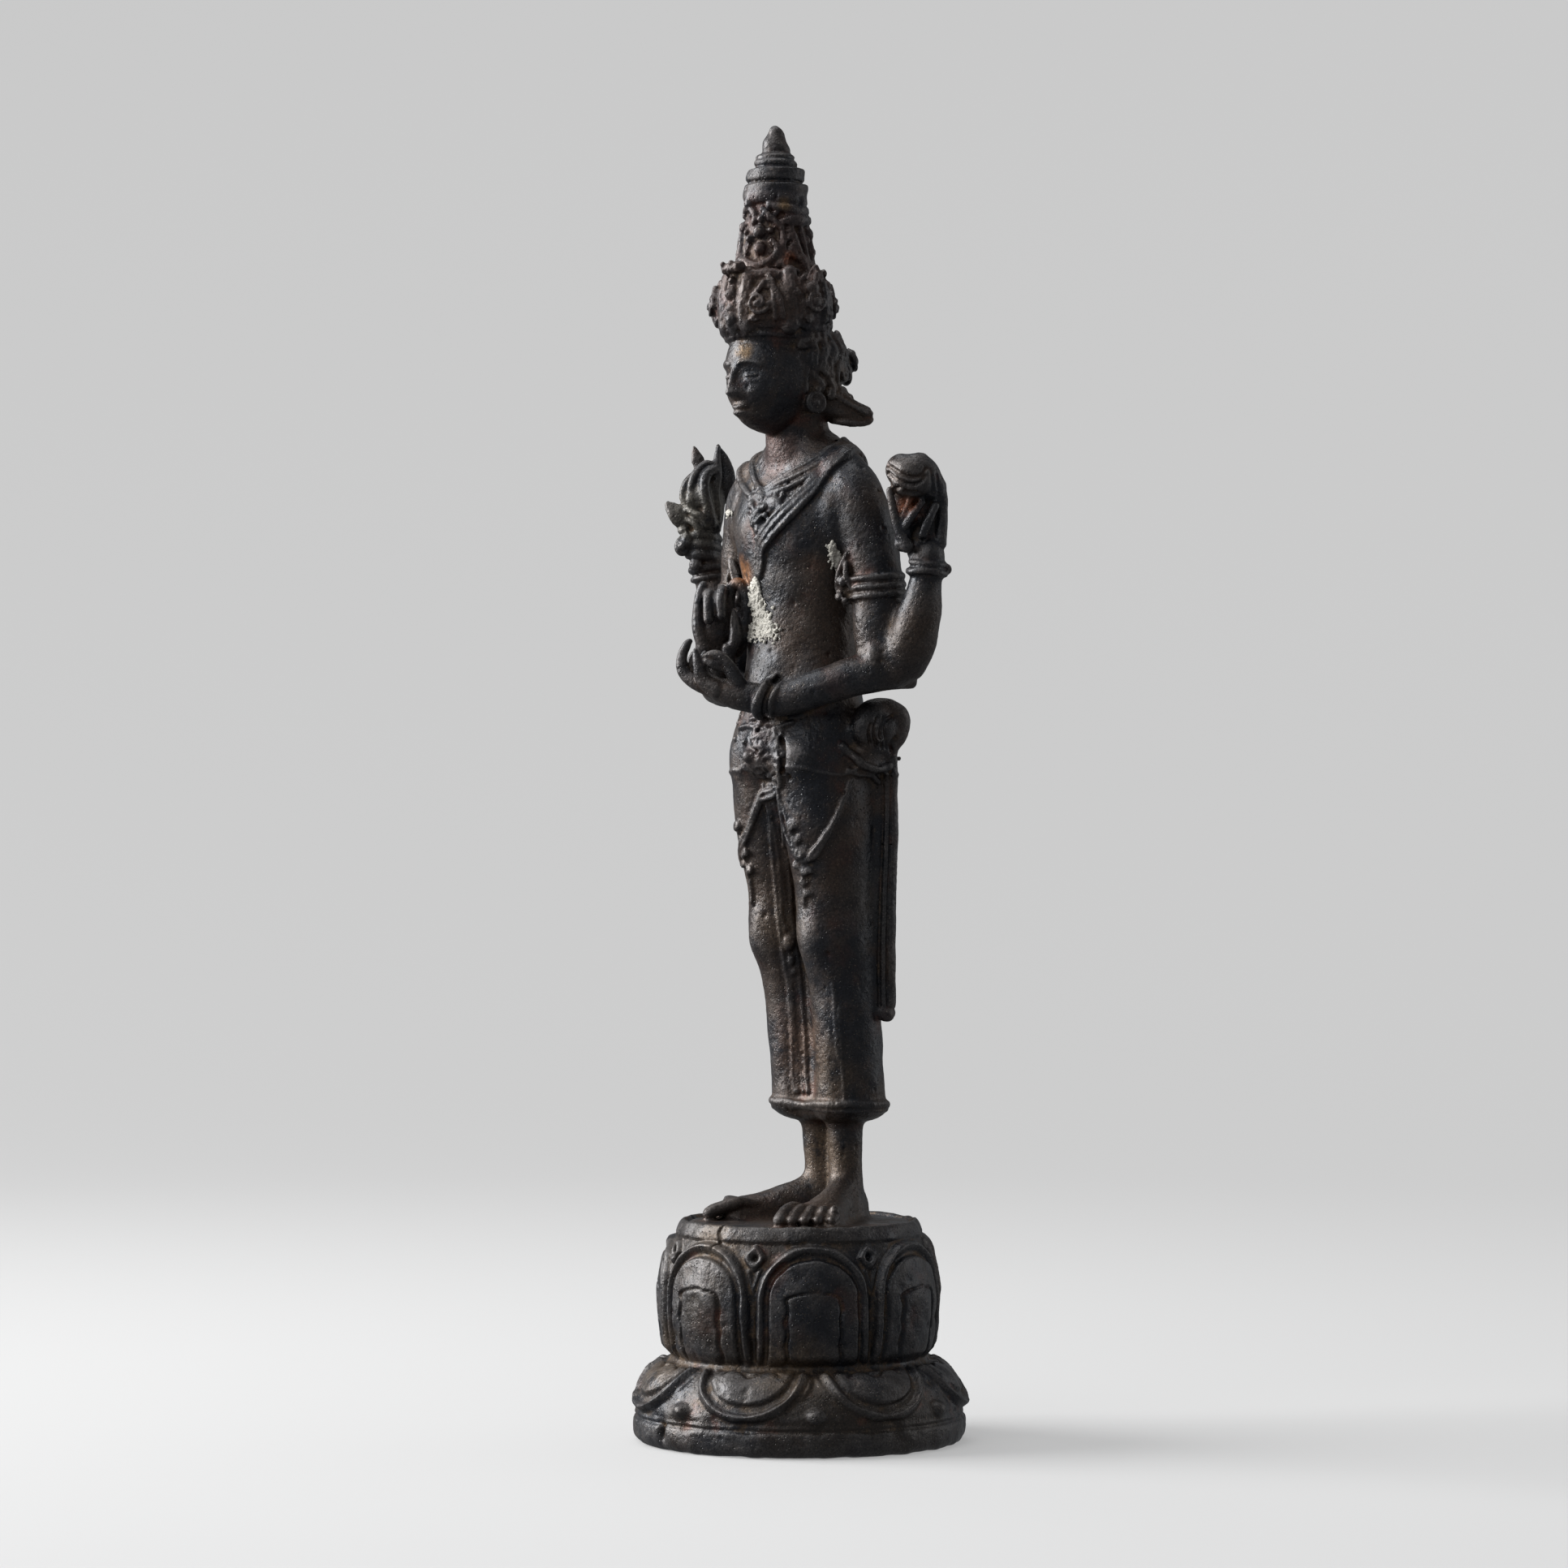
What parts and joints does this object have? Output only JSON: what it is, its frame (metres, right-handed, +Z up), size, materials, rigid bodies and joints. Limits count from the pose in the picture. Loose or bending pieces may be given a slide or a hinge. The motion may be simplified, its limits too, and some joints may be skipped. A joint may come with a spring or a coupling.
{
  "type": "standing deity figurine",
  "caption": "Small dark bronze votive figure of a crowned, many-armed deity standing straight on a round lotus plinth, for a shelf, altar or display case.",
  "frame": {"origin": "centre of the flat underside of the plinth", "axes": "+Z up along the figure, -Y the way the figure faces, +X towards the figure's own left"},
  "size_m": [0.0636, 0.0555, 0.214],
  "materials": {
    "bronze": "dark brown patinated cast bronze, satin on the high places, dull with earth in the hollows"
  },
  "bodies": {
    "root": {"statue": "bronze"}
  },
  "joints": []
}
